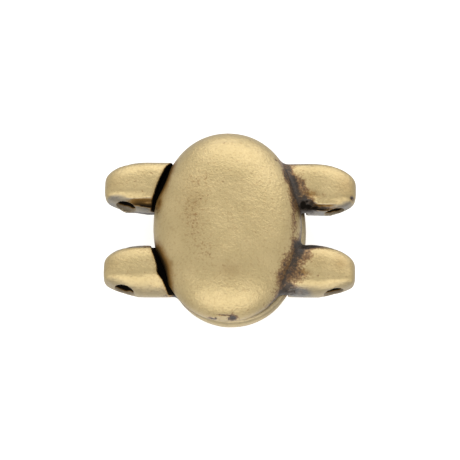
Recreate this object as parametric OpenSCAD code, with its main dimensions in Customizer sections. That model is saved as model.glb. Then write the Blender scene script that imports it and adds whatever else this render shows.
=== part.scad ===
// A two-strand magnetic bracelet clasp, in millimetres.
// Two castings of one pattern lie face to face. Each is a pillow-shaped oval dome with a
// disc magnet let into its flat face, and two thread loops that stand out of one side. The
// loops reach past the mating face and end in a curved wall, which keeps the other half
// from sliding. The clasp rests on the lower dome, with +Z up and +X towards the loops of
// the upper half.

/* [Overall] */
// Length over the tips of the loops, along X
clasp_length = 17; // [16.5:0.1:18]
// Length of each oval, along Y
oval_length = 13.4; // [13:0.1:14]
// Width of each oval, along X
oval_width = 10; // [9.6:0.1:10.4]
// Height of one dome, from its mating face to its crown
dome_height = 3.08; // [2.9:0.02:3.4]
// How far each oval sits off centre, away from its own loops
seat_shift = 0.15; // [0:0.05:0.2]
// Open seam between the two mating faces
seam = 0.04; // [0.02:0.01:0.08]

/* [Dome] */
// Radius of the oval's two end arcs, which is also how far in the crown begins
end_radius = 4.2; // [3.9:0.05:4.3]
// Height of the widest line above the mating face
belly_height = 0.5; // [0.3:0.05:0.7]
// How far the mating edge is rounded in from the widest line
edge_inset = 0.22; // [0.1:0.02:0.3]
// Depth of the two hollows in the side of the dome that face the other half's loops
relief_depth = 0.3; // [0.2:0.05:0.4]
// Width of each hollow, along Y
relief_width = 3.6; // [3.4:0.1:3.8]

/* [Loops] */
// Distance between the centre lines of a half's two loops, along Y
loop_pitch = 5.95; // [5.8:0.05:6.3]
// Width of one loop, along Y
loop_width = 3.48; // [3.2:0.02:3.6]
// Thickness of one loop, along Z
loop_thickness = 2.6; // [2.4:0.05:2.8]
// Length of the rounded tip
tip_length = 3.2; // [2.6:0.1:3.2]
// Sideways lean of a loop's flanks for each millimetre of height
flank_lean = 0.07; // [0:0.01:0.1]
// Gap between the loops' end wall and the other half's oval
wall_gap = 0.2; // [0.15:0.01:0.3]
// Diameter of the thread hole through a loop
hole_diameter = 1.3; // [1:0.05:1.4]
// Distance of the thread hole's axis from the tip
hole_from_tip = 1.5; // [1.3:0.05:1.7]

/* [Magnets] */
// Diameter of a magnet
magnet_diameter = 7; // [6:0.1:7.2]
// Thickness of a magnet
magnet_thickness = 1.8; // [1.5:0.05:1.8]
// Clearance round a magnet and behind it, and how far its face is sunk
magnet_clearance = 0.05; // [0.03:0.01:0.1]

/* [Hidden] */
$fn = 96;

// Half sizes of the oval, and the oval's side arcs, which meet the end arcs in a common tangent
oval_a = oval_width / 2;
oval_b = oval_length / 2;
end_centre = oval_b - end_radius;
side_radius = (oval_a ^ 2 - end_radius ^ 2 + end_centre ^ 2) / (2 * (oval_a - end_radius));
side_centre = side_radius - oval_a;
side_angle = atan2(end_centre, side_centre);

// Height of the mating plane over the surface that the clasp lies on
mate_z = dome_height + seam / 2;

// Places along a half's own X axis, from the centre of its oval
tip_x = clasp_length / 2 + seat_shift;
hole_x = tip_x - hole_from_tip;
shank_x = tip_x - tip_length;

// Steps of the rounded mating edge, of the dome's curve, along each arc of the oval, and round a loop
EDGE_STEPS = 3;
DOME_STEPS = 13;
ARC_STEPS = 12;
LOOP_SIDES = 24;

// Angle of the dome's curve at which the flat crown begins
CROWN_ANGLE = 82;

// Exponents of a loop's rounded forms: across its section, and of its tip from above and from the side
SECTION_POWER = 2.8;
TIP_PLAN_POWER = 2.3;
TIP_SIDE_POWER = 2.6;

// Stations of a loop from its root in the dome to its shank.
// Columns: distance before the shank, share of the width, share of the height above, share of the depth below
ROOT_STATIONS = [
    [2.7, 1.00, 0.78, 1.00],
    [1.5, 1.00, 0.84, 1.00],
    [0.8, 1.00, 0.93, 1.00],
];

// Stations of the tip, as angles of its rounded outline, from the shank to the cap
TIP_ANGLES = [90, 76, 62, 48, 34, 21, 10];

// A quarter of a superellipse: its two coordinates at an angle, each from 0 to 1
function rounded_cos(angle, power) = max(cos(angle), 0) ^ (2 / power);
function rounded_sin(angle, power) = max(sin(angle), 0) ^ (2 / power);

// The oval's four arcs, side arcs first and third, and the points of one of them, drawn in by an inset
// Columns: centre, radius, first angle, last angle
function oval_arcs() = [
    [[-side_centre, 0], side_radius, -side_angle, side_angle],
    [[0, end_centre], end_radius, side_angle, 180 - side_angle],
    [[side_centre, 0], side_radius, 180 - side_angle, 180 + side_angle],
    [[0, -end_centre], end_radius, 180 + side_angle, 360 - side_angle],
];
function arc_points(arc, inset, z) = [
    for (i = [0 : ARC_STEPS - 1])
        let (angle = arc[2] + (arc[3] - arc[2]) * i / ARC_STEPS, r = arc[1] - inset)
            [arc[0][0] + r * cos(angle), arc[0][1] + r * sin(angle), z]
];
function oval_ring(inset, z) = [for (arc = oval_arcs()) for (p = arc_points(arc, inset, z)) p];

// The dome's outer line, as [inset from the widest outline, height over the mating face]
function edge_line() = [
    for (i = [0 : EDGE_STEPS - 1])
        let (angle = 90 * i / EDGE_STEPS)
            [edge_inset * (1 - sin(angle)), belly_height * (1 - cos(angle))]
];
function dome_line() = [
    for (i = [0 : DOME_STEPS])
        let (angle = CROWN_ANGLE * i / DOME_STEPS, rise = sin(angle) / sin(CROWN_ANGLE))
            [end_radius * (1 - cos(angle)), belly_height + (dome_height - belly_height) * rise]
];

// One point of a loop's section at an angle round it, with its flank leaning out towards the dome's side
function loop_point(angle, x, half_w, above, below) =
    let (
        along = sign(cos(angle)) * abs(cos(angle)) ^ (2 / SECTION_POWER),
        up = sign(sin(angle)) * abs(sin(angle)) ^ (2 / SECTION_POWER),
        z = up * (up > 0 ? above : below)
    )
        [x, along * (half_w + flank_lean * z), z];

// All of a loop's stations, as [x, half width, height above, depth below]
function loop_stations() =
    let (half_w = loop_width / 2, half_t = loop_thickness / 2, last = TIP_ANGLES[len(TIP_ANGLES) - 1])
        concat(
            [for (s = ROOT_STATIONS) [shank_x - s[0], half_w * s[1], half_t * s[2], half_t * s[3]]],
            [
                for (angle = TIP_ANGLES)
                    let (
                        reach = rounded_cos(angle, TIP_PLAN_POWER) / rounded_cos(last, TIP_PLAN_POWER),
                        high = half_t * rounded_sin(angle, TIP_SIDE_POWER)
                    )
                        [shank_x + tip_length * reach, half_w * rounded_sin(angle, TIP_PLAN_POWER), high, high]
            ]
        );

// A closed skin over rings of equal length, capped at both ends. Walls that bend are split in triangles
module loft(rings, bent) {
    sides = len(rings[0]);
    last = len(rings) - 1;
    points = [for (ring = rings) for (p = ring) p];
    quads = [
        for (i = [0 : last - 1])
            for (j = [0 : sides - 1])
                let (k = (j + 1) % sides)
                    [i * sides + j, (i + 1) * sides + j, (i + 1) * sides + k, i * sides + k]
    ];
    walls = bent ? [for (q = quads) for (half = [[q[0], q[1], q[3]], [q[3], q[1], q[2]]]) half] : quads;
    root_cap = [for (j = [0 : sides - 1]) j];
    tip_cap = [for (j = [sides - 1 : -1 : 0]) last * sides + j];
    polyhedron(points = points, faces = concat(walls, [root_cap, tip_cap]));
}

// The pillow of one half, from its mating face up to the flat crown
module dome() {
    loft([for (p = concat(edge_line(), dome_line())) oval_ring(p[0], p[1])], bent = false);
}

// One thread loop, as a bean-shaped bar along +X
module loop_bar() {
    loft([
        for (s = loop_stations())
            [for (j = [0 : LOOP_SIDES - 1]) loop_point(360 * j / LOOP_SIDES, s[0], s[1], s[2], s[3])]
    ], bent = true);
}

// Room for the other half's oval: below the mating face the loops end in a wall round it
module seat_of_other_half() {
    translate([2 * seat_shift - side_centre, 0, -loop_thickness])
        cylinder(r = side_radius + wall_gap, h = loop_thickness);
}

// Hollows in the dome's side that keep it clear of the tops of the other half's loops
module relief_for_other_loops() {
    radius = ((relief_width / 2) ^ 2 + relief_depth ^ 2) / (2 * relief_depth);
    turn = asin(loop_pitch / 2 / side_radius);
    for (side = [-1, 1])
        translate([side_centre, 0, 0])
            rotate([0, 0, 180 + side * turn])
                translate([side_radius - relief_depth + radius, 0, -seam])
                    cylinder(r = radius, h = dome_height);
}

module thread_hole() {
    translate([hole_x, 0, 0])
        rotate([90, 0, 0])
            cylinder(d = hole_diameter, h = oval_length, center = true);
}

module magnet_pocket() {
    depth = magnet_thickness + 2 * magnet_clearance;
    translate([0, 0, -depth])
        cylinder(d = magnet_diameter + 2 * magnet_clearance, h = 2 * depth);
}

// One cast half about the centre of its mating face, with the dome up and the loops towards +X
module half() {
    difference() {
        union() {
            dome();
            difference() {
                for (side = [-1, 1])
                    translate([0, side * loop_pitch / 2, 0]) loop_bar();
                seat_of_other_half();
            }
        }
        relief_for_other_loops();
        magnet_pocket();
        thread_hole();
    }
}

module magnet() {
    translate([0, 0, magnet_clearance])
        cylinder(d = magnet_diameter, h = magnet_thickness);
}

// The two places where a half and its magnet lie
module above_the_seam() {
    translate([-seat_shift, 0, mate_z + seam / 2]) children();
}

module below_the_seam() {
    translate([seat_shift, 0, mate_z - seam / 2]) rotate([0, 180, 0]) children();
}

module lower_half() {
    color([0.66, 0.56, 0.34]) below_the_seam() half();
}

module lower_magnet() {
    color([0.74, 0.74, 0.72]) below_the_seam() magnet();
}

module upper_half() {
    color([0.66, 0.56, 0.34]) above_the_seam() half();
}

module upper_magnet() {
    color([0.74, 0.74, 0.72]) above_the_seam() magnet();
}

lower_half();
lower_magnet();
upper_half();
upper_magnet();
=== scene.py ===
import math

import bpy
import numpy as np
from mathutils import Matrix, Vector


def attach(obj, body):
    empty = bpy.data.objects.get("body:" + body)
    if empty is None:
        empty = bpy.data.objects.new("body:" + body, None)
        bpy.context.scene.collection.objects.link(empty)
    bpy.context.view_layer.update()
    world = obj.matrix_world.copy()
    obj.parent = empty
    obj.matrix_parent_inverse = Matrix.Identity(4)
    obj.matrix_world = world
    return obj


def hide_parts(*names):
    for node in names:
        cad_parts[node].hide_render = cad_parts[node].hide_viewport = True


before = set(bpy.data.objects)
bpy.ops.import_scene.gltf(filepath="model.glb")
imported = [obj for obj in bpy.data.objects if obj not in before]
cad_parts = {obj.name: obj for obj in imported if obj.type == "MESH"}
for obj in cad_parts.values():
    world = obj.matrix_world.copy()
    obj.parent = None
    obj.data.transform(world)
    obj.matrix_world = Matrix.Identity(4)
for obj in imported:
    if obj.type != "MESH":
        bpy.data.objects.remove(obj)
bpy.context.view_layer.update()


# The view: from in front and above, 21 degrees off straight down, through a long lens.
# The clasp lies turned by less than a degree, so the camera stands that much to the right.
# Sizes are in millimetres throughout, apart from the clip distances and the soft boxes, in metres.
MM = 0.001
VIEW_ELEVATION = math.radians(68.6)
VIEW_TURN = math.radians(0.72)
LENS, SENSOR = 400, 36
VIEW_WIDTH = 30.90
VIEW_OFFSET = (0.010, 0.004)
MATE_HEIGHT = 3.1
NEAREST_SEEN, FARTHEST_SEEN = 0.02, 20

toward_camera = Vector((math.sin(VIEW_TURN) * math.cos(VIEW_ELEVATION),
                        -math.cos(VIEW_TURN) * math.cos(VIEW_ELEVATION),
                        math.sin(VIEW_ELEVATION)))
camera_turn = toward_camera.to_track_quat("Z", "Y")
aim = Vector((0, 0, MATE_HEIGHT)) + camera_turn @ Vector((*VIEW_OFFSET, 0))
camera_data = bpy.data.cameras.new("view")
camera_data.lens = LENS
camera_data.sensor_width = SENSOR
camera_data.clip_start = NEAREST_SEEN
camera_data.clip_end = FARTHEST_SEEN
camera = bpy.data.objects.new("view", camera_data)
camera.rotation_mode = "QUATERNION"
camera.rotation_quaternion = camera_turn
camera.location = (aim + toward_camera * VIEW_WIDTH * LENS / SENSOR) * MM
bpy.context.collection.objects.link(camera)
bpy.context.scene.camera = camera


# The two castings. Both come out of one mould in zinc alloy, are plated in brass, stained
# dark and tumbled, which rubs the gold bright again except in creases, holes and seats. Each
# is a pillow-shaped dome with two thread loops; the lower one lies turned over.
OVAL_A, OVAL_B, END_R = 5.0, 6.7, 4.2
END_CENTRE = OVAL_B - END_R
SIDE_R = (OVAL_A ** 2 - END_R ** 2 + END_CENTRE ** 2) / (2 * (OVAL_A - END_R))
SIDE_CENTRE = SIDE_R - OVAL_A
DOME_HEIGHT, BELLY_HEIGHT, EDGE_INSET = 3.08, 0.5, 0.22
SEAT_SHIFT, SEAM, WALL_GAP = 0.15, 0.04, 0.2
TIP_X, TIP_LENGTH = 8.65, 3.2
SHANK_X, ROOT_X = TIP_X - TIP_LENGTH, 2.0
LOOP_PITCH, LOOP_HALF_WIDTH, LOOP_HALF_DEPTH, FLANK_LEAN = 5.95, 1.74, 1.3, 0.07
HOLE_X, HOLE_R = 7.15, 0.65
POCKET_R, POCKET_DEPTH = 3.55, 1.9
RELIEF_HALF_WIDTH = 1.65

# How each loop came out of the mould and the barrel.
# Columns: side, shift of its centre line, drift towards the tip, tip lost, where its front face
# begins to slant in and by how much, slope of the bevel over that face, height of the bevel's foot
# near the dome and at the tip, power of the tip's outline to the front and to the rear
UPPER_LOOPS = [
    (1, -0.05, -0.03, 0.0, 6.9, 0.48, math.radians(45), 0.95, 0.75, 4.2, 2.4),
    (-1, 0.02, 0.0, 0.02, 6.2, 0.37, math.radians(50), 0.55, 0.62, 4.5, 2.3),
]
LOWER_LOOPS = [
    (1, 0.02, -0.01, 0.0, 5.7, 0.34, math.radians(52), 0.45, 0.70, 4.5, 2.4),
    (-1, -0.02, 0.0, 0.02, 6.2, 0.42, math.radians(48), 0.30, 0.65, 4.5, 2.5),
]

# How deep the dome's side is relieved beside each loop of the other half. Columns: side, depth
UPPER_RELIEFS = [(1, 0.28), (-1, 0.24)]
LOWER_RELIEFS = [(1, 0.3), (-1, 0.3)]

# The filed stump of the runner through which the metal came in.
# Columns: middle, half width, upward lean of its face, reach of its face
UPPER_FACETS = [(-0.27, 0.42, math.radians(3), 6.60)]

# Notches in the wall that ends a half's loops. Columns: place along Y, reach along Y, depth
UPPER_NOTCHES = [(1.30, 0.35, -0.14), (-4.75, 0.4, -0.14)]
LOWER_NOTCHES = [(-3.5, 0.3, 0.16), (4.8, 0.5, -0.12)]

# Dents, scars and patches of stain and grey film, and a few of painted shade, each a soft spot about a
# place on the skin.
# Places count from the centre of a half's mating face. A depth below 0 is a swelling, and a
# stain below 0 is rubbed clean.
# Columns: place, reach along each axis, depth, stain, film
UPPER_MARKS = [
    ((5.60, 2.18, 1.27), (0.38, 0.24, 0.4), 0.12, 0.35, 0.0),
    ((5.95, 2.08, 1.25), (0.45, 0.16, 0.4), 0.05, 0.35, 0.0),
    ((5.62, 1.96, 1.15), (0.16, 0.14, 0.3), -0.06, 0.0, 0.0),
    ((5.86, 1.70, 1.12), (0.20, 0.12, 0.3), -0.07, 0.0, 0.0),
    ((6.30, 1.53, 1.08), (0.40, 0.12, 0.3), -0.07, 0.0, 0.0),
    ((6.95, 1.58, 1.05), (0.45, 0.13, 0.3), -0.05, 0.0, 0.0),
    ((5.45, 1.68, 1.10), (0.30, 0.17, 0.35), 0.06, 1.0, 0.0),
    ((5.85, 1.44, 0.95), (0.35, 0.15, 0.35), 0.05, 0.8, 0.0),
    ((6.45, 1.29, 0.87), (0.60, 0.14, 0.22), 0.0, 1.3, 0.0),
    ((6.00, 1.15, -0.10), (1.10, 0.30, 0.60), 0.0, 0.3, 0.3),
    ((5.15, 2.40, 1.27), (0.28, 0.30, 0.4), 0.0, 0.35, 0.0),
    ((5.02, 1.45, 1.00), (0.22, 0.35, 0.5), 0.0, 0.8, 0.0),
    ((5.15, 1.85, 1.15), (0.20, 0.20, 0.35), 0.0, 0.5, 0.0),
    ((3.85, 3.20, 1.50), (0.22, 0.70, 0.5), 0.0, 0.6, 0.0),
    ((5.00, 4.62, 0.90), (0.60, 0.30, 0.6), 0.0, 0.4, 0.3),
    ((5.30, 1.40, 1.05), (0.30, 0.34, 0.45), 0.22, 0.9, 0.0),
    ((5.75, 1.22, 0.55), (0.50, 0.25, 0.5), 0.05, 0.7, 0.0),
    ((4.97, 2.95, 1.27), (0.22, 0.30, 0.4), 0.05, 0.3, 0.0),
    ((4.75, 3.85, 1.10), (0.35, 0.45, 0.5), 0.0, -0.5, 0.0),
    ((3.22, 4.44, 1.66), (0.14, 0.12, 0.3), 0.02, 0.55, 0.0),
    ((5.20, -1.50, 0.95), (0.75, 0.26, 0.5), 0.05, 1.0, 0.0),
    ((5.90, -1.40, 0.90), (0.70, 0.20, 0.4), 0.03, 0.9, 0.0),
    ((5.15, -3.50, 1.26), (0.42, 0.24, 0.4), 0.10, 0.3, 0.0),
    ((4.42, 2.80, 1.45), (0.40, 0.85, 0.5), 0.0, 0.7, 0.0),
    ((5.60, -1.25, 0.60), (0.80, 0.30, 0.6), -0.05, 0.9, 0.0),
    ((4.75, -1.75, 1.20), (0.35, 0.45, 0.5), 0.0, 0.45, 0.0),
    ((5.10, -2.30, 1.27), (0.50, 0.50, 0.4), 0.02, 0.25, 0.0),
    ((4.60, -3.55, 1.15), (0.35, 0.50, 0.5), 0.0, 0.35, 0.0),
    ((5.65, -2.20, 1.27), (0.35, 0.35, 0.4), 0.0, 0.25, 0.0),
    ((6.60, -3.65, 1.20), (1.20, 0.18, 0.4), 0.03, 0.05, 0.0),
    ((4.30, -4.35, 1.00), (0.25, 0.15, 0.3), 0.03, 0.5, 0.0),
    ((5.00, -4.75, 0.30), (0.60, 0.35, 0.9), 0.0, 0.6, 0.9),
    ((7.15, -4.55, 0.72), (0.80, 0.30, 0.2), -0.04, 0.0, 0.2),
    ((7.15, 1.35, 0.72), (0.80, 0.30, 0.2), -0.03, 0.0, 0.2),
    ((4.25, -4.60, 0.45), (0.80, 0.50, 0.45), 0.0, 0.35, 0.8),
    ((3.75, -4.95, 0.42), (0.45, 0.45, 0.36), 0.0, 0.8, 0.6),
    ((3.05, -5.50, 0.38), (0.45, 0.45, 0.32), 0.0, 0.7, 0.6),
    ((2.20, -6.05, 0.32), (0.55, 0.45, 0.28), 0.0, 0.4, 0.5),
    ((3.45, -3.90, 1.65), (0.40, 0.45, 0.5), 0.0, 0.5, 0.0),
    ((3.85, -2.90, 1.75), (0.30, 0.80, 0.5), 0.0, 0.5, 0.0),
    ((4.42, 0.10, 1.65), (0.22, 1.80, 0.5), 0.01, 0.7, 0.0),
    ((5.02, 0.10, 0.62), (0.16, 1.70, 0.42), 0.0, 0.95, 0.9),
    ((8.32, 2.10, 0.80), (0.13, 0.09, 0.25), 0.10, 1.4, 0.0),
    ((8.45, 1.98, 0.62), (0.12, 0.08, 0.25), 0.08, 1.2, 0.0),
    ((-2.20, -0.30, 2.95), (0.75, 1.80, 0.5), 0.0, 0.24, 0.0),
    ((-1.90, 2.30, 2.90), (0.80, 0.90, 0.5), 0.0, 0.17, 0.0),
    ((-1.45, -2.60, 2.95), (0.60, 0.90, 0.5), 0.0, 0.16, 0.0),
    ((0.42, -6.60, 0.72), (0.28, 0.30, 0.42), 0.09, 1.9, 0.0),
    ((-0.95, -6.62, 0.48), (0.30, 0.30, 0.20), 0.04, 1.5, 0.0),
    ((-0.27, -6.57, 1.10), (0.46, 0.30, 0.08), 0.05, 1.2, 0.0),
]
LOWER_MARKS = [
    ((5.85, 1.60, -0.95), (0.90, 0.14, 0.2), 0.05, 0.2, 0.0),
    ((6.60, 1.80, -1.05), (0.60, 0.15, 0.3), -0.05, 0.0, 0.0),
    ((5.60, 1.90, -1.20), (0.60, 0.15, 0.3), -0.04, 0.0, 0.0),
    ((5.60, 3.55, -1.26), (0.30, 0.15, 0.3), 0.02, 0.1, 0.0),
    ((6.10, -1.50, -0.98), (0.75, 0.14, 0.3), 0.04, 0.9, 0.0),
    ((5.20, -4.72, -0.50), (0.55, 0.25, 0.4), 0.0, 0.35, 0.2),
    ((4.98, -4.08, -0.90), (0.35, 0.35, 0.4), 0.04, 0.12, 0.0),
    ((7.20, -4.55, -0.72), (0.80, 0.30, 0.2), -0.04, 0.0, 0.2),
    ((7.20, 1.45, -0.72), (0.80, 0.30, 0.2), -0.04, 0.0, 0.2),
    ((3.62, -4.66, 0.45), (0.24, 0.25, 0.4), 0.04, 1.7, 0.0),
    # The last three rows darken the lower edge of the rear left loop's inner flank, out to under its hole:
    # painted shade where the flank turns under, with some stain
    ((7.30, 1.38, 0.80), (0.70, 0.35, 0.35), -0.15, 0.8, 0.0),
    ((5.75, 1.27, 0.55), (0.60, 0.20, 0.28), 0.0, 2.0, 0.0),
    ((6.10, 1.30, 0.85), (0.90, 0.25, 0.32), -0.03, 1.0, 0.0),
]

# Where the last of the stain is left on the gold, and a few patches of painted shade, a thin brown
# film where it is weak and black as soot where it is strong. Columns: place, reach along each axis,
# strength
UPPER_GLAZE = [
    # The second patch of the next row darkens the crown's front slope just short of the front highlight: a
    # painted dim reflection over a faint stain
    ((-2.40, 0.80, 2.90), (1.0, 2.6, 1.0), 0.24), ((0.20, -4.00, 2.90), (1.0, 0.7, 0.6), 0.26),
    ((5.55, 2.18, 1.27), (0.55, 0.30, 0.4), 0.55), ((5.15, -3.45, 1.26), (0.50, 0.28, 0.4), 0.45),
    ((7.95, 2.90, 1.00), (0.9, 1.2, 0.6), 0.30), ((7.60, -2.70, 1.10), (0.9, 0.8, 0.6), 0.30),
    ((6.30, -2.60, 1.27), (0.9, 0.8, 0.5), 0.2), ((5.04, 1.50, 0.88), (0.22, 0.32, 0.40), 1.7),
    ((5.36, 1.45, 0.77), (0.30, 0.14, 0.22), 1.6), ((5.85, 1.38, 0.80), (0.36, 0.09, 0.15), 1.2),
    # The two patches of the next row darken the gap beside the rear left loop: painted shade, with a little
    # stain
    ((-4.32, 2.40, 1.30), (0.40, 0.90, 1.2), 0.42), ((-4.58, 1.30, 1.30), (0.28, 0.65, 0.7), 0.8),
]
LOWER_GLAZE = [
    ((7.90, 2.90, -1.00), (0.9, 0.9, 0.6), 0.20), ((8.00, -2.90, -1.00), (0.7, 0.9, 0.6), 0.20),
]

# Pinholes of the casting, which hold a speck of stain
UPPER_PITS = [
    (-0.32, 5.34, 2.39), (1.43, 5.81, 1.83), (3.20, 4.44, 1.66), (-0.35, 2.23, 3.07),
    (-1.43, 2.63, 2.96), (-1.34, 1.29, 3.04), (-1.80, 1.02, 2.99), (-2.80, 0.30, 2.76),
    (2.20, 2.83, 2.74), (2.95, 1.20, 2.68), (-0.56, -1.81, 3.08), (1.91, -1.37, 2.95),
    (-1.15, -2.92, 2.97), (1.74, -4.11, 2.62), (-0.27, -3.69, 2.97), (1.43, -6.24, 1.28),
    (3.80, -2.48, 1.99), (5.64, 3.69, 1.26), (6.09, -3.67, 1.26), (7.50, -3.50, 1.05),
    (7.63, -2.99, 1.03), (7.56, -2.02, 0.92), (7.55, 2.90, 1.05),
]
LOWER_PITS = [
    (6.53, 2.98, -1.25), (5.46, 3.57, -1.26), (5.44, 2.26, -1.25), (6.04, 2.26, -1.24),
    (5.71, 2.20, -1.25), (8.15, 2.36, -0.74), (7.35, -3.04, -1.09), (6.87, -3.50, -1.18),
    (7.48, -3.52, -1.03), (8.30, -3.38, -0.64), (5.33, -3.78, -1.22), (5.42, -2.13, -1.22),
    (5.80, -3.59, -1.25), (1.20, 2.40, 2.9), (-2.0, -1.0, 2.9), (-0.6, 4.3, 2.7),
]


# The form of one half, as the distance from its skin, less than 0 inside the metal

def ramp_down(value, full, none):
    """1 up to full, then less and less, 0 from none on."""
    share = np.clip((none - value) / (none - full), 0, 1)
    return share * share * (3 - 2 * share)


def ramp_up(value, none, full):
    """0 up to none, then more and more, 1 from full on."""
    return ramp_down(-value, -full, -none)


def soft_union(a, b, radius):
    """Two forms in one, with a fillet of a radius where they meet."""
    near = np.maximum(radius - np.abs(a - b), 0) / radius
    return np.minimum(a, b) - near * near * radius / 4


def soft_cut(solid, tool, radius):
    """A form with another cut out of it, and the edge of the cut rounded by a radius."""
    return -soft_union(-solid, tool, radius)


def oval_outline(x, y):
    """Distance from the oval's widest outline, less than nothing inside it."""
    x, y = np.abs(x), np.abs(y)
    end = np.hypot(x, y - END_CENTRE) - END_R
    side = np.hypot(x + SIDE_CENTRE, y) - SIDE_R
    return np.where(SIDE_CENTRE * y > END_CENTRE * (x + SIDE_CENTRE), end, side)


# Guards: a form's least size, so that nothing is divided by 0 at its core, the least steepness of
# the dome's crown, and how near to round the mating edge is
CORE, CROWN_STEEPNESS, EDGE_ROUNDNESS = 0.05, 0.15, 0.999


def dome(x, y, z):
    """Distance from the dome, a flattened ball above its widest line and a rounded edge below it."""
    outline = oval_outline(x, y)
    rise_height = DOME_HEIGHT - BELLY_HEIGHT
    out = np.maximum(outline + END_R, 0) / END_R
    up = np.maximum(z - BELLY_HEIGHT, 0) / rise_height
    size = np.maximum(np.hypot(out, up), CORE)
    steepness = np.hypot(out / END_R, up / rise_height) / size
    upper = (size - 1) / np.maximum(steepness, CROWN_STEEPNESS)
    drop = np.clip((BELLY_HEIGHT - z) / BELLY_HEIGHT, 0, 1)
    lower = outline + EDGE_INSET * (1 - np.sqrt(1 - drop * drop * EDGE_ROUNDNESS))
    return np.where(z > BELLY_HEIGHT, upper, lower)


# A loop's rounded forms: its hollow top behind the shank, the powers of its section in front and
# elsewhere, how wide across the squarer front and the slant set in, the bevel's rounded edge and
# where its foot changes height, and how wide across the tip's front and rear powers change over
ROOT_HOLLOW, HOLLOW_LENGTH, HOLLOW_POWER = 0.2, 2.2, 1.5
FRONT_POWER, REAR_POWER, SQUARE_WIDTH = 4.0, 2.8, 0.8
SLANT_LENGTH, SLANT_WIDTH = 1.9, 1.4
BEVEL_EDGE, BEVEL_FOOT_SPAN = 0.4, (5.6, 7.2)
TIP_CHANGEOVER, BAR_SCALE = 0.7, 1.1


def thread_loop(x, y, z, top, tip_lost, slant_from, slant, bevel_slope, root_foot, tip_foot,
                front_tip, rear_tip):
    """One loop as a blunt bar along +X, a little hollow on top where it leaves the dome."""
    hollow = ROOT_HOLLOW * np.clip((SHANK_X - x) / HOLLOW_LENGTH, 0, 1) ** HOLLOW_POWER
    half_width = LOOP_HALF_WIDTH + FLANK_LEAN * np.clip(z, -LOOP_HALF_DEPTH, LOOP_HALF_DEPTH)
    half_depth = LOOP_HALF_DEPTH * np.where(z > 0, 1 - hollow, 1)
    slant_share = np.clip((x - slant_from) / SLANT_LENGTH, 0, 1)
    slanted = slant * slant_share * (1 - ramp_down(-y, 0.0, SLANT_WIDTH))
    across = (np.abs(y) + slanted) / half_width
    deep = np.abs(z) / half_depth
    in_front = 1 - ramp_down(-y, 0.0, SQUARE_WIDTH)
    power = REAR_POWER + (FRONT_POWER - REAR_POWER) * in_front * (z * top > 0)
    section = (across ** power + deep ** power) ** (1 / power)
    along = np.maximum(x - SHANK_X, 0) / (TIP_LENGTH - tip_lost)
    to_rear = 1 - ramp_down(y / half_width, -TIP_CHANGEOVER, TIP_CHANGEOVER)
    tip_power = front_tip + (rear_tip - front_tip) * to_rear
    size = np.maximum((section ** tip_power + along ** tip_power) ** (1 / tip_power), CORE)
    bar = (size - 1) * LOOP_HALF_DEPTH * BAR_SCALE
    foot = tip_foot + (root_foot - tip_foot) * ramp_down(x, *BEVEL_FOOT_SPAN)
    over_front = slanted - y - half_width
    bevel = over_front * math.sin(bevel_slope) + (z * top - foot) * math.cos(bevel_slope)
    return np.maximum(soft_cut(bar, -bevel, BEVEL_EDGE), ROOT_X - x)


def both_loops(x, y, z, half):
    """Distance from the nearer of a half's two loops."""
    nearest = None
    for side, shift, drift, *form in half["loops"]:
        centre = side * LOOP_PITCH / 2 + shift
        drifted = centre + drift * np.clip((x - SHANK_X) / TIP_LENGTH, 0, 1) ** 2
        loop = thread_loop(x, y - drifted, z, half["top"], *form)
        nearest = loop if nearest is None else np.minimum(nearest, loop)
    return nearest


def relief(x, y, reliefs):
    """Distance from the round hollows in the dome's side that clear the other half's loops."""
    nearest = None
    turn = math.asin(LOOP_PITCH / 2 / SIDE_R)
    for side, depth in reliefs:
        radius = (RELIEF_HALF_WIDTH ** 2 + depth ** 2) / (2 * depth)
        away = SIDE_R + radius - depth
        along = x - SIDE_CENTRE + away * math.cos(turn)
        across = y - side * away * math.sin(turn)
        hollow = np.hypot(along, across) - radius
        nearest = hollow if nearest is None else np.minimum(nearest, hollow)
    return nearest


def seat_wall(x, y, notches):
    """Distance from the curved wall round the other half's oval, in which the loops end."""
    gap = WALL_GAP
    for place, reach, depth in notches:
        gap = gap + depth * np.exp(-((y - place) / reach) ** 2)
    return np.hypot(x - 2 * SEAT_SHIFT + SIDE_CENTRE, y) - SIDE_R - gap


# How many reaches away, squared, a spot has faded to nothing
SPOT_END = 30


def spot(x, y, z, place, reach):
    """1 at a place, and softly less away from it."""
    far = sum(((value - at) / size) ** 2 for value, at, size in zip((x, y, z), place, reach))
    return np.exp(-np.minimum(far, SPOT_END))


# The lattice of random heights: cells to a side before it repeats, and its start far from the clasp
LATTICE_CELLS, LATTICE_START = 24, 500.37


def unevenness(x, y, z, wavelength, seed):
    """Smooth random relief between about -1 and 1, on a lattice of random heights."""
    heights = np.random.default_rng(seed).uniform(-1, 1, (LATTICE_CELLS,) * 3)
    low, share = [], []
    for value in (x, y, z):
        value = value / wavelength + LATTICE_START
        floor = np.floor(value)
        low.append(floor.astype(int))
        part = value - floor
        share.append(part * part * (3 - 2 * part))
    total = 0
    for corner in range(8):
        steps = [corner >> axis & 1 for axis in range(3)]
        weight = 1
        for axis in range(3):
            weight = weight * (share[axis] if steps[axis] else 1 - share[axis])
        i, j, k = ((low[axis] + steps[axis]) % LATTICE_CELLS for axis in range(3))
        total = total + weight * heights[i, j, k]
    return total


# Radii of the fillet between dome and loops and of the edges of wall, cuts, runner and holes, and
# the height and wavelength of the skin's slow waves and of the ripples on them
CREASE, WALL_EDGE, CUT_EDGE, FACET_EDGE, HOLE_LIP = 0.34, 0.14, 0.07, 0.03, 0.05
WAVE, WAVE_LENGTH = 0.016, 2.1
RIPPLE, RIPPLE_LENGTH = 0.006, 0.8


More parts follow.
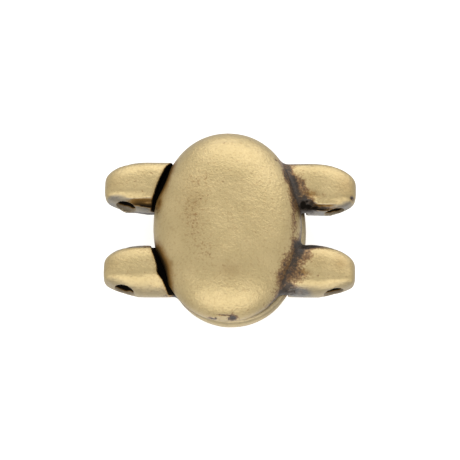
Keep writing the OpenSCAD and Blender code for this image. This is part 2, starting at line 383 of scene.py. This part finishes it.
def casting(x, y, z, half):
    """Distance from the skin of one half, about the centre of its mating face."""
    skin = soft_union(dome(x, y, z), both_loops(x, y, z, half), CREASE)
    waves = WAVE * (1 + unevenness(x, y, z, WAVE_LENGTH, half["seed"]))
    ripples = RIPPLE * (1 + unevenness(x, y, z, RIPPLE_LENGTH, half["seed"] + 1))
    skin = skin + waves + ripples
    for place, reach, depth, stain, film in half["marks"]:
        if depth:
            skin = skin + depth * spot(x, y, z, place, reach)
    skin = soft_cut(skin, np.maximum(seat_wall(x, y, half["notches"]), z), WALL_EDGE)
    skin = soft_cut(skin, relief(x, y, half["reliefs"]), CUT_EDGE)
    for middle, half_width, lean, reach in half["facets"]:
        face = reach + y * math.cos(lean) - z * math.sin(lean)
        skin = soft_cut(skin, np.maximum(face, np.abs(x - middle) - half_width), FACET_EDGE)
    pocket = np.maximum(np.hypot(x, y) - POCKET_R, z - POCKET_DEPTH)
    skin = soft_cut(skin, pocket, CUT_EDGE)
    return soft_cut(skin, np.hypot(x - HOLE_X, z) - HOLE_R, HOLE_LIP)


# The net over the skin: its pitch, the corners of the room that it is looked for in, and how its
# corners are pulled onto the skin
NET_PITCH = 0.08
ROOM_LOW, ROOM_HIGH = (-5.3, -7.0, -1.6), (8.95, 7.0, 3.4)
PULLS, LONGEST_PULL, LEAST_STEEPNESS = 3, 0.5 * NET_PITCH, 0.2


def net_over(field, low, high, pitch):
    """Corners and four-sided faces of the skin on which a field is 0, and the points inside it."""
    counts = [int(math.ceil((high[axis] - low[axis]) / pitch)) + 1 for axis in range(3)]
    axes = [low[axis] + pitch * np.arange(counts[axis]) for axis in range(3)]
    value = field(*np.meshgrid(*axes, indexing="ij", sparse=True))
    inside = value < 0
    cells = [count - 1 for count in counts]

    # Where the skin crosses an edge between two points, and the sum of the crossings in each cell
    hits, place = np.zeros(cells), np.zeros((3, *cells))
    crossings = []
    for axis in range(3):
        first = [slice(None)] * 3
        second = [slice(None)] * 3
        first[axis], second[axis] = slice(0, -1), slice(1, None)
        a, b = value[tuple(first)], value[tuple(second)]
        crossed = inside[tuple(first)] != inside[tuple(second)]
        crossings.append((crossed, inside[tuple(first)]))
        share = np.where(crossed, a / np.where(crossed, a - b, 1), 0)
        others = [other for other in range(3) if other != axis]
        for step_1 in (0, 1):
            for step_2 in (0, 1):
                part = [slice(None)] * 3
                offset = [0, 0, 0]
                for other, step in zip(others, (step_1, step_2)):
                    part[other] = slice(step, cells[other] + step)
                    offset[other] = step
                here = crossed[tuple(part)]
                hits += here
                place[axis] += share[tuple(part)]
                for other in others:
                    place[other] += here * offset[other]

    # One corner in each cell that the skin passes, at the mean of the cell's crossings
    active = hits > 0
    number = np.full(cells, -1)
    number[active] = np.arange(active.sum())
    corners = np.stack(np.nonzero(active), 1) + (place[:, active] / hits[active]).T
    corners = np.array(low) + pitch * corners

    # One face round each crossed edge, from the corners of the four cells that share the edge
    faces = []
    for axis in range(3):
        crossed, first_inside = crossings[axis]
        u, v = (axis + 1) % 3, (axis + 2) % 3
        at = np.stack(np.nonzero(crossed), 1)
        outward = first_inside[crossed]
        ring = []
        for step_u, step_v in ((1, 1), (0, 1), (0, 0), (1, 0)):
            cell = at.copy()
            cell[:, u] -= step_u
            cell[:, v] -= step_v
            ring.append(number[tuple(cell.T)])
        ring = np.stack(ring, 1)
        faces.append(np.where(outward[:, None], ring, ring[:, ::-1]))
    return corners, np.concatenate(faces), inside


def slope(field, points):
    """Which way a field grows at some points, and how fast."""
    step = 0.01
    grown = []
    for axis in range(3):
        ahead, behind = points.copy(), points.copy()
        ahead[:, axis] += step
        behind[:, axis] -= step
        grown.append((field(*ahead.T) - field(*behind.T)) / (2 * step))
    return np.stack(grown, 1)


# Rays that feel for metal round a point: how many, the grazing ones left out, the distances at which
# they feel, and the distance at which metal would no longer count
RAYS, GRAZING = 72, 0.1
FEELERS, FEELER_END = (0.22, 0.36, 0.55, 0.85, 1.3, 1.9, 2.6), 5


def sheltered(points, normals, inside, low, pitch):
    """How much of the view from the skin is closed off by metal less than 3 mm away."""
    closed, weights = np.zeros(len(points)), np.zeros(len(points))
    golden = math.pi * (3 - math.sqrt(5))
    shape = np.array(inside.shape)
    flat_inside = inside.ravel()
    for step in range(RAYS):
        height = 1 - (2 * step + 1) / RAYS
        flat = math.sqrt(1 - height * height)
        way = np.array((flat * math.cos(golden * step), flat * math.sin(golden * step), height))
        facing = normals @ way - GRAZING
        seen = np.nonzero(facing > 0)[0]
        start = (points[seen] - low) / pitch
        blocked = np.zeros(len(seen))
        for reach in FEELERS:
            cell = np.rint(start + way * (reach / pitch)).astype(int)
            held = ((cell >= 0) & (cell < shape)).all(1)
            cell = cell.clip(0, shape - 1)
            filled = flat_inside[(cell[:, 0] * shape[1] + cell[:, 1]) * shape[2] + cell[:, 2]] & held
            blocked = np.maximum(blocked, filled * (1 - reach / FEELER_END))
        closed[seen] += facing[seen] * blocked
        weights[seen] += facing[seen]
    return closed / weights


# The stain that the tumbling left, and the shade and lit lining painted into the gaps and holes. A pair of
# values is the stretch over which a stain comes or goes


def ragged_edges(x, y, z, seed):
    """A factor of about 1 that frays the edges of the stains."""
    broad, broad_length = 0.25, 0.7
    fine, fine_length = 0.2, 0.3
    return (1 + broad * unevenness(x, y, z, broad_length, seed + 2)
            + fine * unevenness(x, y, z, fine_length, seed + 3))


def corner_stain(on_dome, on_loops, ragged):
    """Stain in the corner between dome and loops, dark close in and paler further out."""
    over_dome, over_loops = 1.2, 1.4
    dark_reach, pale_reach, pale_strength = (0.15, 0.85), (0.7, 1.5), 0.5
    away = (over_dome * on_dome + over_loops * on_loops) * ragged
    return np.maximum(ramp_down(away, *dark_reach), pale_strength * ramp_down(away, *pale_reach))


def groove_soot(x, y, z, inward, below_top, half):
    """Soot high on the flanks that face the room between a half's loops."""
    wave, wave_length = 0.2, 0.6
    facing_in, lower_edge, tip_fade = (0.80, 0.95), 0.12, (6.3, 8.0)
    depth, strength = half["groove"]
    wavy = inward + wave * unevenness(x, y, z, wave_length, half["seed"] + 5)
    groove = ramp_up(wavy, *facing_in) * ramp_down(below_top, depth, depth + lower_edge)
    return groove * (strength + (1 - strength) * below_top / depth) * ramp_down(x, *tip_fade)


def grey_film(x, z, inward, on_dome, groove):
    """Grey film on the loops' flanks, and low on the dome, the more so towards the loops."""
    facing_in, inner_strength = (0.6, 0.85), 0.9
    facing_out, outer_strength = (-0.95, -0.6), 0.4
    edge_full, edge_end, edge_rise, rise_span = 0.12, 0.42, 0.3, (4.0, 4.8)
    edge_low, edge_skin, edge_strength, edge_gain, gain_span = -0.1, 0.12, 0.4, 0.5, (1.0, 3.5)
    flank = ramp_up(inward, *facing_in) * (1 - groove)
    outer = outer_strength * ramp_down(inward, *facing_out)
    low_edge = ramp_down(z, edge_full, edge_end + edge_rise * ramp_up(x, *rise_span))
    low_edge = low_edge * (z > edge_low) * (on_dome < edge_skin)
    edge = low_edge * (edge_strength + edge_gain * ramp_up(x, *gain_span))
    return np.max([inner_strength * flank, outer, edge], axis=0)


def wall_soot_and_shade(z, to_wall, below_top):
    """Soot and painted shade on the wall in which the loops end, across the gap from the dome, and more
    weakly beside it.
    """
    on_wall, under_top = (0.05, 0.12), (0.04, 0.2)
    beside_wall, beside_strength = (0.05, 0.35), 0.3
    wall = ramp_down(np.abs(to_wall), *on_wall) * (1 - ramp_down(below_top, *under_top))
    return np.maximum(wall, beside_strength * ramp_down(to_wall, *beside_wall)) * (z < 0)


def seat_soot(x, z, to_wall):
    """Soot on the mating face, along the wall in which the loops end."""
    face_depth, loops_from, wall_foot, strip = 0.1, 3, 0.05, (0.5, 1.0)
    return (np.abs(z) < face_depth) * (x > loops_from) * (to_wall < wall_foot) * ramp_down(-to_wall, *strip)


# Where the loops' flanks begin, and how wavy the line is that the soot keeps below their tops
FLANKS_FROM, TOP_WAVE, TOP_WAVE_LENGTH = 4.2, 0.1, 0.9

# Share of the view closed off that begins to hold stain and that is full of it, and how far the
# soot and painted shade of the gap by the other half's loops reach over the hollows that clear them
SHELTER_SPAN, RELIEF_REACH = (0.08, 0.24), (-0.16, 0.68)

# The thread holes: how near their wall counts as inside, stain and film there, and how deep in the
# pale lining painted for their lit walls and the black painted shade begin and are full
HOLE_SKIN, HOLE_STAIN, HOLE_FILM = (0.02, 0.06), 0.3, 0.6
LIT_LINING_DEPTH, HOLE_SHADE_DEPTH = (0.0, 0.04), (0.12, 0.24)

# Size of a pinhole's speck, and how much stain is in it
PIT_R, PIT_STAIN = 0.07, 0.6


def stains_and_shade(points, normals, inside, low, half):
    """How much stain, grey film, soot and painted shade, and painted lit lining there is at each point of
    the skin.
    """
    x, y, z = points.T
    ragged = ragged_edges(x, y, z, half["seed"])
    to_loops = both_loops(x, y, z, half)
    on_dome, on_loops = np.abs(dome(x, y, z)), np.abs(to_loops)
    to_wall = seat_wall(x, y, half["notches"])
    inward = -normals[:, 1] * np.sign(y) * (x > FLANKS_FROM)
    wavy_top = TOP_WAVE * unevenness(x, y, z, TOP_WAVE_LENGTH, half["seed"] + 4)
    below_top = LOOP_HALF_DEPTH - half["top"] * z + wavy_top
    in_hole = ramp_down(np.abs(np.hypot(x - HOLE_X, z) - HOLE_R), *HOLE_SKIN)
    buried = -to_loops * ragged
    groove = groove_soot(x, y, z, inward, below_top, half)

    corner = corner_stain(on_dome, on_loops, ragged) * (z > 0)
    shelter = ramp_up(sheltered(points, normals, inside, low, NET_PITCH), *SHELTER_SPAN)
    dark = np.maximum(corner, shelter)
    film = grey_film(x, z, inward, on_dome, groove)
    for place, reach, depth, stain, haze in half["marks"]:
        here = spot(x, y, z, place, reach)
        dark = dark + stain * here
        film = film + haze * here
    for place in half["pits"]:
        dark = dark + PIT_STAIN * spot(x, y, z, place, (PIT_R, PIT_R, PIT_R))
    dark = dark + (HOLE_STAIN - dark) * in_hole
    film = np.minimum(np.maximum(film, HOLE_FILM * in_hole), 1)

    # Painted shade: black in the gap beside the other half's loops, with soot, on the hollows that clear
    # them; its weaker fringe comes out brown
    gap = ramp_down(relief(x, y, half["reliefs"]) * ragged, *RELIEF_REACH)
    hole = in_hole * ramp_up(buried, *HOLE_SHADE_DEPTH)
    # Soot on the seat and in the grooves, with the painted shade of the gap, the wall and the holes
    soot_and_shade = np.max([gap, wall_soot_and_shade(z, to_wall, below_top), seat_soot(x, z, to_wall), groove, hole], axis=0)
    for place, reach, strength in half["glaze"]:
        soot_and_shade = np.maximum(soot_and_shade, strength * spot(x, y, z, place, reach))
    # A pale, dull lining painted in the holes' mouths, standing in for their lit lower walls
    painted_lit_lining = in_hole * ramp_up(buried, *LIT_LINING_DEPTH)
    return {"stain": dark, "film": film, "soot_and_shade": soot_and_shade, "painted_lit_lining": painted_lit_lining}


def half_casting(half):
    """Points, faces, normals and stains of one half, in its own frame, the stains with painted shade and a
    painted lit lining.
    """
    def field(x, y, z):
        return casting(x, y, z, half)

    low = np.array(ROOM_LOW)
    points, faces, inside = net_over(field, low, ROOM_HIGH, NET_PITCH)
    for _ in range(PULLS):
        grown = slope(field, points)
        steep = np.maximum((grown * grown).sum(1), LEAST_STEEPNESS)
        move = -field(*points.T)[:, None] * grown / steep[:, None]
        points = points + np.clip(move, -LONGEST_PULL, LONGEST_PULL)
    grown = slope(field, points)
    normals = grown / np.linalg.norm(grown, axis=1)[:, None]
    return points, faces, normals, stains_and_shade(points, normals, inside, low, half)


# The finish of the castings, and how a finish is put together from nodes


class Signal:
    """A socket of a finish. Sums on it add Math nodes."""

    def __init__(self, finish, socket):
        self.finish, self.socket = finish, socket

    def worked(self, operation, *terms):
        """The outcome of one Math node."""
        return self.finish.node("ShaderNodeMath", {"operation": operation}, dict(enumerate(terms)))

    def __add__(self, other):
        return self.worked("ADD", self, other)

    def __radd__(self, other):
        return self.worked("ADD", other, self)

    def __sub__(self, other):
        return self.worked("SUBTRACT", self, other)

    def __rsub__(self, other):
        return self.worked("SUBTRACT", other, self)

    def __mul__(self, other):
        return self.worked("MULTIPLY", self, other)

    def __rmul__(self, other):
        return self.worked("MULTIPLY", other, self)

    def larger(self, other):
        return self.worked("MAXIMUM", self, other)

    def between(self, low, high):
        """0 below low, 1 above high, with a soft change from one to the other."""
        return self.finish.node("ShaderNodeMapRange", {"interpolation_type": "SMOOTHSTEP"},
                                {"Value": self, "From Min": low, "From Max": high})


class Finish:
    """The nodes of a material, or of the light all round, under construction."""

    def __init__(self, owner):
        owner.use_nodes = True
        self.owner, self.tree = owner, owner.node_tree
        self.tree.nodes.clear()

    def node(self, kind, settings, sockets, out=0):
        """A node with its settings, then its sockets' values or links, and one of its outputs."""
        made = self.tree.nodes.new(kind)
        for name, value in settings.items():
            setattr(made, name, value)
        for name, value in sockets.items():
            if isinstance(value, Signal):
                self.tree.links.new(value.socket, made.inputs[name])
            else:
                made.inputs[name].default_value = value
        return Signal(self, made.outputs[out]) if made.outputs else None

    def attribute(self, name):
        """How much of something lies at each point, as its piece says."""
        return self.node("ShaderNodeAttribute", {"attribute_name": name}, {}, out="Fac")

    def mix(self, share, first, second):
        """From the first colour to the second by a share."""
        share_in, first_in, second_in, colour_out = 0, 6, 7, 2
        first, second = ((*c, 1) if isinstance(c, tuple) else c for c in (first, second))
        return self.node("ShaderNodeMix", {"data_type": "RGBA", "clamp_factor": True},
                         {share_in: share, first_in: first, second_in: second}, out=colour_out)

    def grain(self, size, detail=2.0, roughness=0.5):
        """Noise with spots about as large as a size in millimetres, on the piece itself."""
        where = self.node("ShaderNodeTexCoord", {}, {}, out="Object")
        return self.node("ShaderNodeTexNoise", {}, {
            "Vector": where, "Scale": 1 / (size * MM), "Detail": detail, "Roughness": roughness})

    def bump(self, height, depth):
        """A normal from relief of a depth in millimetres."""
        return self.node("ShaderNodeBump", {}, {"Strength": 1.0, "Distance": depth * MM, "Height": height})

    def done(self, **sockets):
        """The finished material, with the shader's sockets given by their names."""
        shader = self.node("ShaderNodeBsdfPrincipled", {}, {
            name.replace("_", " "): value for name, value in sockets.items()})
        self.node("ShaderNodeOutputMaterial", {}, {"Surface": shader})
        return self.owner


# The grains of the skin: their sizes, and the stretch of each noise over which it comes out
COARSE_GRAIN, COARSE_SPAN = 1.3, (0.35, 0.65)
BLOTCH_GRAIN, BLOTCH_SPAN = 0.4, (0.3, 0.7)
SPECK_GRAIN, SPECK_SPAN = 0.17, (0.5, 0.72)
FINE_GRAIN, FINE_SPAN = 0.16, (0.25, 0.75)
SOFT_GRAIN = 0.3

# How strongly fine grain and blotches mottle the stain, how thick the film is and what a blotch
# adds, and how strongly specks show on clean gold and how much more on stain
FINE_MOTTLE, BLOTCH_MOTTLE = 0.6, 0.3
FILM_LEAST, FILM_BLOTCHED = 0.8, 0.2
SPECKS_ON_GOLD, SPECKS_ON_STAIN = 0.32, 3.0

# How much stain turns the gold brown, then black, and how much soot and painted shade lies as a brown
# glaze, dulls the skin and turns it black
BROWN_SPAN, BLACK_SPAN = (0.2, 0.75), (0.5, 1.25)
GLAZE_SPAN, DULL_SPAN, SOOT_AND_SHADE_SPAN = (0.0, 0.75), (0.3, 0.95), (0.45, 1.0)

# The metal's dullness and how far the fine grain changes it, how much of the metal's look black
# stain takes away, the clear coat, and the depth of the relief with the fine grain's share in it
DULLNESS, GRAIN_DULLNESS, BLACK_LOSS = 0.42, 0.1, 0.4
COAT, COAT_DULLNESS = 0.5, 0.3
SKIN_RELIEF, FINE_RELIEF = 0.026, 0.5

# Colours of the brass and of what lies on it
GOLD, PALE_GOLD, SPECK_BROWN = (0.60, 0.465, 0.225), (0.65, 0.505, 0.25), (0.42, 0.27, 0.115)
DARK_RUST, PALE_RUST = (0.23, 0.120, 0.050), (0.38, 0.230, 0.105)
CHAR, WARM_CHAR = (0.028, 0.025, 0.022), (0.075, 0.052, 0.036)
# The buff paints the lit walls in the holes' mouths, and the black serves for soot and for painted shade in
# the gaps and holes
FILM_GREY, LIT_LINING_BUFF = (0.21, 0.198, 0.182), (0.36, 0.30, 0.22)
GLAZE_BROWN, SOOT_AND_SHADE_BLACK = (0.27, 0.140, 0.030), (0.010, 0.008, 0.006)


def antique_brass():
    """Rubbed gold with stain that turns brown, then black, under grey film, a painted lit lining in the
    holes, and soot and painted shade.
    """
    finish = Finish(bpy.data.materials.new("antique_brass"))
    coarse = finish.grain(COARSE_GRAIN, detail=3.0)
    blotch = finish.grain(BLOTCH_GRAIN).between(*BLOTCH_SPAN)
    fine = finish.grain(FINE_GRAIN, detail=3.0, roughness=0.6).between(*FINE_SPAN)
    speck = finish.grain(SPECK_GRAIN).between(*SPECK_SPAN)
    patina = finish.attribute("stain")
    stain = patina + (fine - 0.5) * FINE_MOTTLE + (blotch - 0.5) * BLOTCH_MOTTLE
    brown = stain.between(*BROWN_SPAN)
    black = stain.between(*BLACK_SPAN)
    film = finish.attribute("film") * (FILM_LEAST + blotch * FILM_BLOTCHED)
    soot_and_shade = finish.attribute("soot_and_shade")
    painted_lit_lining = finish.attribute("painted_lit_lining")
    gold = finish.mix(coarse.between(*COARSE_SPAN), GOLD, PALE_GOLD)
    gold = finish.mix(speck * (SPECKS_ON_GOLD + patina * SPECKS_ON_STAIN), gold, SPECK_BROWN)
    rust = finish.mix(blotch, DARK_RUST, PALE_RUST)
    char = finish.mix(fine, CHAR, WARM_CHAR)
    colour = finish.mix(brown, gold, rust)
    colour = finish.mix(film, colour, FILM_GREY)
    colour = finish.mix(black, colour, char)
    # The pale lining painted in the holes' mouths for their lit walls, then brown glaze and black for soot
    # and painted shade
    colour = finish.mix(painted_lit_lining, colour, LIT_LINING_BUFF)
    colour = finish.mix(soot_and_shade.between(*GLAZE_SPAN) * (1.0 - black), colour, GLAZE_BROWN)
    colour = finish.mix(soot_and_shade.between(*SOOT_AND_SHADE_SPAN), colour, SOOT_AND_SHADE_BLACK)
    dull = soot_and_shade.between(*DULL_SPAN).larger(painted_lit_lining)
    relief_height = fine * FINE_RELIEF + finish.grain(SOFT_GRAIN)
    return finish.done(
        Base_Color=colour, Metallic=1.0 - (black * BLACK_LOSS).larger(dull),
        Roughness=DULLNESS + (fine - 0.5) * GRAIN_DULLNESS, Specular_IOR_Level=0.0,
        Coat_Weight=COAT - dull * COAT, Coat_Roughness=COAT_DULLNESS,
        Normal=finish.bump(relief_height, SKIN_RELIEF))


brass = antique_brass()


# Which way each half's own axes lie in the closed clasp
UPRIGHT, TURNED_OVER = np.array((1, 1, 1)), np.array((-1, 1, -1))


def in_the_clasp(points, way):
    """Points of a half where they lie in the closed clasp."""
    side = way[2]
    return points * way + np.array((-side * SEAT_SHIFT, 0, MATE_HEIGHT + side * SEAM / 2))


def to_object(name, points, faces, material):
    """A smooth piece of one material, from points in millimetres."""
    mesh = bpy.data.meshes.new(name)
    mesh.from_pydata((points * MM).tolist(), [], faces)
    mesh.polygons.foreach_set("use_smooth", np.ones(len(mesh.polygons), dtype=bool))
    mesh.materials.append(material)
    made = bpy.data.objects.new(name, mesh)
    bpy.context.collection.objects.link(made)
    return made


def cast_half(name, node, body, half, way):
    """One casting in its place, with its stains, painted shade and painted lit lining, for the half of the
    frame that it stands for.
    """
    points, faces, normals, patina = half_casting(half)
    made = to_object(name, in_the_clasp(points, way), faces.tolist(), brass)
    made.data.normals_split_custom_set_from_vertices((normals * way).tolist())
    for label, values in patina.items():
        made.data.attributes.new(label, "FLOAT", "POINT").data.foreach_set("value", values)
    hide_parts(node)
    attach(made, body)


# What differs between the two: the seed of the skin, which side of the loops lies up, how deep and
# how strong the soot along their tops is, and the tables above
UPPER = {"seed": 11, "top": 1, "groove": (0.75, 0.9), "loops": UPPER_LOOPS, "reliefs": UPPER_RELIEFS,
         "facets": UPPER_FACETS, "notches": UPPER_NOTCHES, "marks": UPPER_MARKS, "glaze": UPPER_GLAZE,
         "pits": UPPER_PITS}
LOWER = {"seed": 47, "top": -1, "groove": (0.85, 0.4), "loops": LOWER_LOOPS, "reliefs": LOWER_RELIEFS,
         "facets": [], "notches": LOWER_NOTCHES, "marks": LOWER_MARKS, "glaze": LOWER_GLAZE,
         "pits": LOWER_PITS}
cast_half("upper_casting", "upper_half", "upper", UPPER, UPRIGHT)
cast_half("lower_casting", "lower_half", "lower", LOWER, TURNED_OVER)


# The two magnets, flat discs of sintered neodymium with a bright nickel plating and a
# small bevel all round. Each is glued into the round pocket of a mating face.
MAGNET_R, MAGNET_DEPTH, MAGNET_SUNK, MAGNET_BEVEL = 3.5, 1.8, 0.05, 0.15
FACE_RINGS, BEVEL_STEPS, AROUND = (0.25, 0.5, 0.75, 0.9), 4, 96
NICKEL, PALE_NICKEL = (0.62, 0.61, 0.58), (0.70, 0.69, 0.66)
CLOUD_GRAIN, POLISH_GRAIN, POLISH_RELIEF = 0.9, 0.08, 0.002
NICKEL_DULLNESS, CLOUD_DULLNESS = 0.2, 0.12


def bright_nickel():
    """Bright plating with a faint cloudiness and the finest of polishing marks."""
    finish = Finish(bpy.data.materials.new("bright_nickel"))
    cloud = finish.grain(CLOUD_GRAIN, detail=3.0)
    polish = finish.grain(POLISH_GRAIN, detail=3.0)
    return finish.done(Base_Color=finish.mix(cloud, NICKEL, PALE_NICKEL), Metallic=1.0,
                       Roughness=NICKEL_DULLNESS + cloud * CLOUD_DULLNESS,
                       Normal=finish.bump(polish, POLISH_RELIEF))


nickel = bright_nickel()


def disc_profile():
    """Radius and depth of the disc's rings, from the face to the back."""
    rings = [(MAGNET_R * share, 0) for share in FACE_RINGS]
    for middle, start in ((MAGNET_BEVEL, -90), (MAGNET_DEPTH - MAGNET_BEVEL, 0)):
        for step in range(BEVEL_STEPS + 1):
            angle = math.radians(start + 90 / BEVEL_STEPS * step)
            rings.append((MAGNET_R - MAGNET_BEVEL + MAGNET_BEVEL * math.cos(angle),
                          middle + MAGNET_BEVEL * math.sin(angle)))
    return rings + [(MAGNET_R * share, MAGNET_DEPTH) for share in reversed(FACE_RINGS)]


def magnet(name, node, body, way):
    """One magnet in its pocket, from rings of points round its axis."""
    profile = disc_profile()
    points = [(0, 0, 0)]
    for radius, depth in profile:
        for step in range(AROUND):
            angle = 2 * math.pi * step / AROUND
            points.append((radius * math.cos(angle), radius * math.sin(angle), depth))
    points.append((0, 0, MAGNET_DEPTH))
    faces, last = [], len(points) - 1
    for step in range(AROUND):
        after = (step + 1) % AROUND
        faces.append((0, 1 + after, 1 + step))
        for ring in range(len(profile) - 1):
            a, b = 1 + ring * AROUND, 1 + (ring + 1) * AROUND
            faces.append((a + step, a + after, b + after, b + step))
        rim = 1 + (len(profile) - 1) * AROUND
        faces.append((rim + step, rim + after, last))
    made = to_object(name, in_the_clasp(np.array(points) + (0, 0, MAGNET_SUNK), way), faces, nickel)
    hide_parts(node)
    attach(made, body)


magnet("upper_disc", "upper_magnet", "upper", UPRIGHT)
magnet("lower_disc", "lower_magnet", "lower", TURNED_OVER)


# The table, a plain white sheet that runs past the picture on every side, and the studio
# light: a wide soft box behind the clasp, one in front of it, and a white tent all round.
HALF_TABLE, TABLE_CLOUD = 600, 30.0
TABLE_GLOW, TABLE_DULLNESS = 0.6, 0.9
TABLE_WHITE, PALER_WHITE, WHITE_LIGHT = (0.86, 0.86, 0.86), (0.88, 0.88, 0.88), (1, 1, 1, 1)


def white_table():
    finish = Finish(bpy.data.materials.new("white_table"))
    colour = finish.mix(finish.grain(TABLE_CLOUD), TABLE_WHITE, PALER_WHITE)
    return finish.done(Base_Color=colour, Roughness=TABLE_DULLNESS, Emission_Color=WHITE_LIGHT,
                       Emission_Strength=TABLE_GLOW)


table_corners = [(-HALF_TABLE, -HALF_TABLE, 0), (HALF_TABLE, -HALF_TABLE, 0),
                 (HALF_TABLE, HALF_TABLE, 0), (-HALF_TABLE, HALF_TABLE, 0)]
table = to_object("table", np.array(table_corners), [(0, 1, 2, 3)], white_table())
table.visible_glossy = False


def soft_box(name, bearing, height, distance, width, length, power):
    """An area light that faces the clasp, from a bearing counted from +X and a height in degrees."""
    bearing, height = math.radians(bearing), math.radians(height)
    away = Vector((math.cos(bearing) * math.cos(height), math.sin(bearing) * math.cos(height),
                   math.sin(height)))
    light = bpy.data.lights.new(name, "AREA")
    light.shape = "RECTANGLE"
    light.size, light.size_y = width, length
    light.energy = power
    box = bpy.data.objects.new(name, light)
    box.location = away * distance
    box.rotation_mode = "QUATERNION"
    box.rotation_quaternion = away.to_track_quat("Z", "Y")
    bpy.context.collection.objects.link(box)


soft_box("rear_box", bearing=80, height=24, distance=0.6, width=0.9, length=0.6, power=1.67)
soft_box("front_box", bearing=-88, height=30, distance=0.6, width=1.2, length=0.6, power=2.0)


# The tent's light: even all round, and stronger from above the table's level, from the table's
# near side and from the left. Columns: direction, where the extra light begins and is full, strength
TENT_LIGHT = 0.62
TENT_SIDES = [
    ((0, 0, 1), (-0.4, 0.2), 0.12),
    ((0, -0.5, -0.86), (0.78, 1.0), 0.45),
    ((-1, 0, 0), (0.1, 0.9), 0.04),
]


def tent():
    """The light all round the table, as a world."""
    light = Finish(bpy.data.worlds.new("tent"))
    way = light.node("ShaderNodeTexCoord", {}, {})
    strength = TENT_LIGHT
    for direction, span, extra in TENT_SIDES:
        toward = light.node("ShaderNodeVectorMath", {"operation": "DOT_PRODUCT"}, {0: way, 1: direction},
                            out="Value")
        strength = strength + toward.between(*span) * extra
    background = light.node("ShaderNodeBackground", {}, {"Color": WHITE_LIGHT, "Strength": strength})
    light.node("ShaderNodeOutputWorld", {}, {"Surface": background})
    return light.owner


bpy.context.scene.world = tent()
bpy.context.scene.view_settings.view_transform = "Standard"
